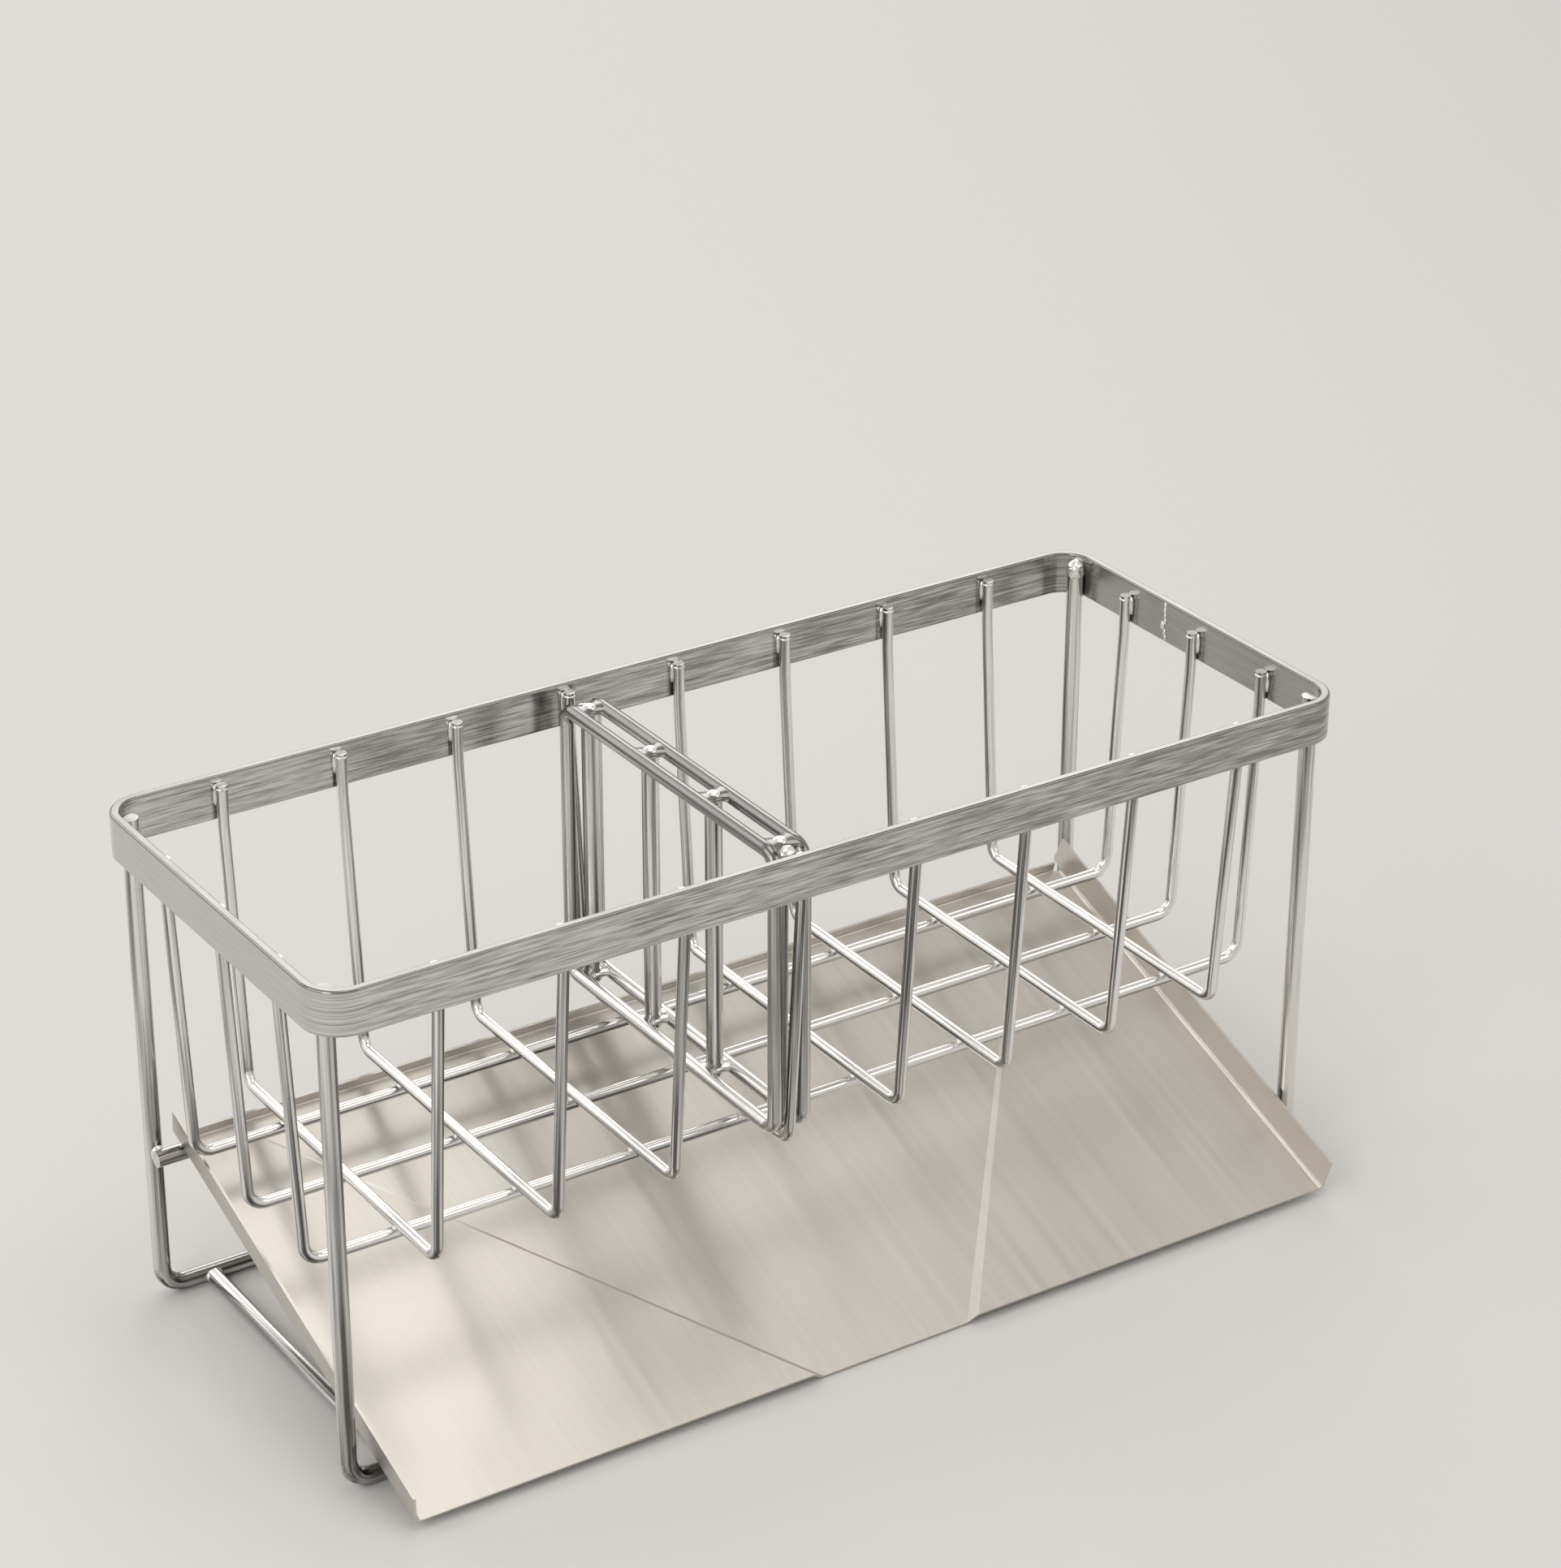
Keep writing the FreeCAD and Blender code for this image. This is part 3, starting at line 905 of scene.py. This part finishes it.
@dataclass
class Divider:
    """Lift-out divider of two wire loops and the rods between them."""

    nodes: Solids
    waist: Vector = lengths(0.0027, 0.0013)
    flare: Vector = lengths(0.0050, 0.0015)
    bridge_lift: float = 0.0003
    end_dome: Vector = lengths(0.0030, 0.0023, 0.0022)
    end_inset: float = 0.0032
    dome_fineness: int = 3

    def dress(self, loop: Material, rod: Material) -> None:
        """Give the loops and the rods their polish.

        Args:
            loop: Finish of the two loops.
            rod: Finish of the rods, whose domed ends shine.
        """
        dress(self.nodes, ["divider_left_loop", "divider_right_loop"], loop)
        dress(self.nodes, named(self.nodes, "divider_rod"), rod)

    def build_welds(self, material: Material) -> bpy.types.Object:
        """Build the bridges that join both ends of each rod to the loops.

        Args:
            material: Finish of the bridges.

        Returns:
            The piece that holds every bridge of the divider.
        """
        beads = WeldBeads("divider_welds", Body.DIVIDER, Slot.DIVIDER)
        left_low, left_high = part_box("divider_left_loop")
        right_low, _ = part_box("divider_right_loop")
        wire = left_high.x - left_low.x
        reach = (right_low.x - left_low.x) / 2 - self.bridge_lift
        for name in named(self.nodes, "divider_rod"):
            low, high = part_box(name)
            middle = (low + high) / 2
            for z in (left_low.z + wire / 2, left_high.z - wire / 2):
                centre = Vector((middle.x, middle.y, z + self.bridge_lift))
                beads.bridge(centre, reach, self.waist, self.flare)
        return beads.finish(material)

    def build_domes(self, material: Material) -> bpy.types.Object:
        """Build the domed welds that close the gap between the loops at their upper bends.

        Args:
            material: Finish of the domes.

        Returns:
            The piece that holds both domes.
        """
        domes = WeldBeads("divider_domes", Body.DIVIDER, Slot.DIVIDER)
        low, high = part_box("divider_left_loop")
        _, far_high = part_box("divider_right_loop")
        x = (low.x + far_high.x) / 2
        for y in (low.y + self.end_inset, high.y - self.end_inset):
            place = Vector((x, y, high.z - self.end_inset))
            domes.add(place, self.end_dome, fineness=self.dome_fineness)
        return domes.finish(material)


@dataclass
class DripTray:
    """Folded sheet that carries the drips to its spout."""

    nodes: Solids

    def dress(self, sheet: Material) -> None:
        """Give the sheet its satin finish."""
        dress(self.nodes, ["drip_tray"], sheet)


@dataclass(frozen=True)
class Softbox:
    """Soft rectangular lamp that faces the caddy, in metres and watts."""

    name: str
    place: tuple[float, float, float]
    size: tuple[float, float]
    power: float
    colour: Colour = (1.0, 0.985, 0.965)

    def hang(self) -> None:
        """Hang the lamp in the studio, out of the camera's sight."""
        lamp = bpy.data.lights.new(self.name, "AREA")
        lamp.shape = "RECTANGLE"
        lamp.size, lamp.size_y = self.size
        lamp.energy = self.power
        lamp.color = self.colour
        holder = bpy.data.objects.new(self.name, lamp)
        holder.location = self.place
        holder.rotation_mode = "QUATERNION"
        holder.rotation_quaternion = (-Vector(self.place)).to_track_quat("-Z", "Y")
        holder.visible_camera = False
        bpy.context.scene.collection.objects.link(holder)


SOFTBOXES = (
    Softbox("Overhead softbox", (0.16, 0.05, 1.50), (0.9, 0.9), 4.0),
    Softbox("Left panel", (-1.45, 0.0, 1.20), (1.6, 1.0), 7.5),
    Softbox("Rear panel", (1.02, 1.61, 1.10), (1.0, 0.8), 5.5),
    Softbox("Rear left panel", (-0.60, 1.90, 1.10), (1.6, 1.2), 7.0),
    Softbox("Front right panel", (1.00, -1.20, 1.30), (1.2, 0.8), 4.0),
    Softbox("Front left strip", (-1.35, -0.80, 0.80), (0.5, 1.2), 5.0),
)


@dataclass
class Studio:
    """Pale floor, soft light and the camera at the photograph's angle.

    Lengths are in metres, the lens and the sensor in millimetres and angles in degrees. The
    sky's tones go by height, from the horizon to overhead, and its strength by how far a
    direction points to the rear.
    """

    floor_radius: float = 6.0
    floor_segments: int = 128
    floor_colour: Colour = (0.62, 0.618, 0.612)
    far_floor_colour: Colour = (0.84, 0.838, 0.832)
    floor_fade: Span = (1.8, 3.5)
    floor_roughness: float = 0.7
    horizon_tint: Colour = (1.0, 0.99, 0.98)
    overhead_tint: Colour = (1.0, 0.955, 0.885)
    sky_tones: tuple[Span, ...] = (
        (0.0, 0.72),
        (0.30, 0.84),
        (0.60, 0.72),
        (0.80, 0.60),
        (1.0, 0.64),
    )
    sky_turn: Span = (-0.7, 0.5)
    sky_strength: Span = (0.80, 1.05)
    softboxes: tuple[Softbox, ...] = SOFTBOXES
    camera_place: Vector = lengths(-0.51840, -0.81387, 0.60649)
    camera_azimuth: float = -33.19
    camera_elevation: float = 26.30
    camera_roll: float = 0.15
    lens: float = 97.71
    sensor: float = 36.0
    shift: tuple[float, float] = (-0.0022, 0.0004)

    def build(self) -> None:
        """Make the floor, the sky, the lamps and the camera."""
        self._floor()
        self._sky()
        for softbox in self.softboxes:
            softbox.hang()
        self._camera()

    def _floor(self) -> None:
        """Lay a large pale disc under the caddy."""
        mesh = bmesh.new()
        bmesh.ops.create_circle(
            mesh, cap_ends=True, segments=self.floor_segments, radius=self.floor_radius
        )
        data = bpy.data.meshes.new("Studio floor")
        mesh.to_mesh(data)
        mesh.free()
        data.materials.append(self._floor_material())
        floor = bpy.data.objects.new("Studio floor", data)
        bpy.context.scene.collection.objects.link(floor)

    def _floor_material(self) -> Material:
        """Make the floor's pale finish, paler far out, where less of the lamps' light falls.

        Returns:
            The new material.
        """
        material = bpy.data.materials.new("Pale floor")
        material.use_nodes = True
        tree = material.node_tree
        reach = tree.nodes.new("ShaderNodeVectorMath")
        reach.operation = "LENGTH"
        link(tree, coordinate(tree, Coordinate.PLACE), reach.inputs[0])
        fade = map_range(tree, reach.outputs["Value"], self.floor_fade)
        fade.interpolation_type = "SMOOTHSTEP"
        tone = tree.nodes.new("ShaderNodeValToRGB")
        tone.color_ramp.elements[0].color = (*self.floor_colour, 1.0)
        tone.color_ramp.elements[1].color = (*self.far_floor_colour, 1.0)
        link(tree, fade.outputs["Result"], tone.inputs["Fac"])
        shader = tree.nodes["Principled BSDF"]
        shader.inputs["Roughness"].default_value = self.floor_roughness
        link(tree, tone.outputs["Color"], shader.inputs["Base Color"])
        return material

    def _sky(self) -> None:
        """Light the studio with a soft warm sky, brightest low down and towards the rear."""
        world = bpy.data.worlds.new("Studio light")
        bpy.context.scene.world = world
        world.use_nodes = True
        tree = world.node_tree
        sky = tree.nodes["Background"]
        direction = split_axes(tree, coordinate(tree, Coordinate.DIRECTION))
        ramp = tree.nodes.new("ShaderNodeValToRGB")
        elements = ramp.color_ramp.elements
        # A new ramp has two elements. The rest are added first, and all are placed below.
        while len(elements) < len(self.sky_tones):
            elements.new(HALF_WAY)
        for element, (height, tone) in zip(elements, self.sky_tones):
            tint = Vector(self.horizon_tint).lerp(Vector(self.overhead_tint), height)
            element.position = height
            element.color = (*(tint * tone), 1.0)
        link(tree, direction.outputs["Z"], ramp.inputs["Fac"])
        link(tree, ramp.outputs["Color"], sky.inputs["Color"])
        facing = map_range(tree, direction.outputs["Y"], self.sky_turn, self.sky_strength)
        facing.interpolation_type = "SMOOTHSTEP"
        link(tree, facing.outputs["Result"], sky.inputs["Strength"])

    def _camera(self) -> None:
        """Stand the camera where the photograph was taken from."""
        data = bpy.data.cameras.new("Photograph camera")
        data.sensor_width = self.sensor
        data.lens = self.lens
        data.shift_x, data.shift_y = self.shift
        camera = bpy.data.objects.new("Photograph camera", data)
        upright = math.radians(90.0 - self.camera_elevation)
        tilt = Euler((upright, 0.0, math.radians(self.camera_azimuth))).to_matrix().to_4x4()
        roll = Matrix.Rotation(math.radians(self.camera_roll), 4, "Z")
        camera.matrix_world = Matrix.Translation(self.camera_place) @ tilt @ roll
        bpy.context.scene.collection.objects.link(camera)
        bpy.context.scene.camera = camera


def main() -> None:
    """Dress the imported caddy, add its welds and set up the studio."""
    logging.basicConfig(level=logging.INFO)
    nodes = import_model()["nodes"]
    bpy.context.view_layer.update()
    effects = SteelEffects()
    thick_wire = THICK_WIRE.material(effects)
    weld = WELD_STEEL.material(effects)
    wire = POLISHED_WIRE.material(effects)
    loop = DIVIDER_LOOP.material(effects)
    frame = WireFrame(nodes)
    frame.dress(BRUSHED_BAND.material(effects), wire, thick_wire)
    LOG.info("made %s", frame.build_welds(weld).name)
    divider = Divider(nodes)
    divider.dress(loop, wire)
    LOG.info("made %s", divider.build_welds(loop).name)
    LOG.info("made %s", divider.build_domes(weld).name)
    DripTray(nodes).dress(SATIN_TRAY.material(effects))
    bpy.context.scene.view_settings.view_transform = "Standard"
    Studio().build()


if __name__ == "__main__":
    main()
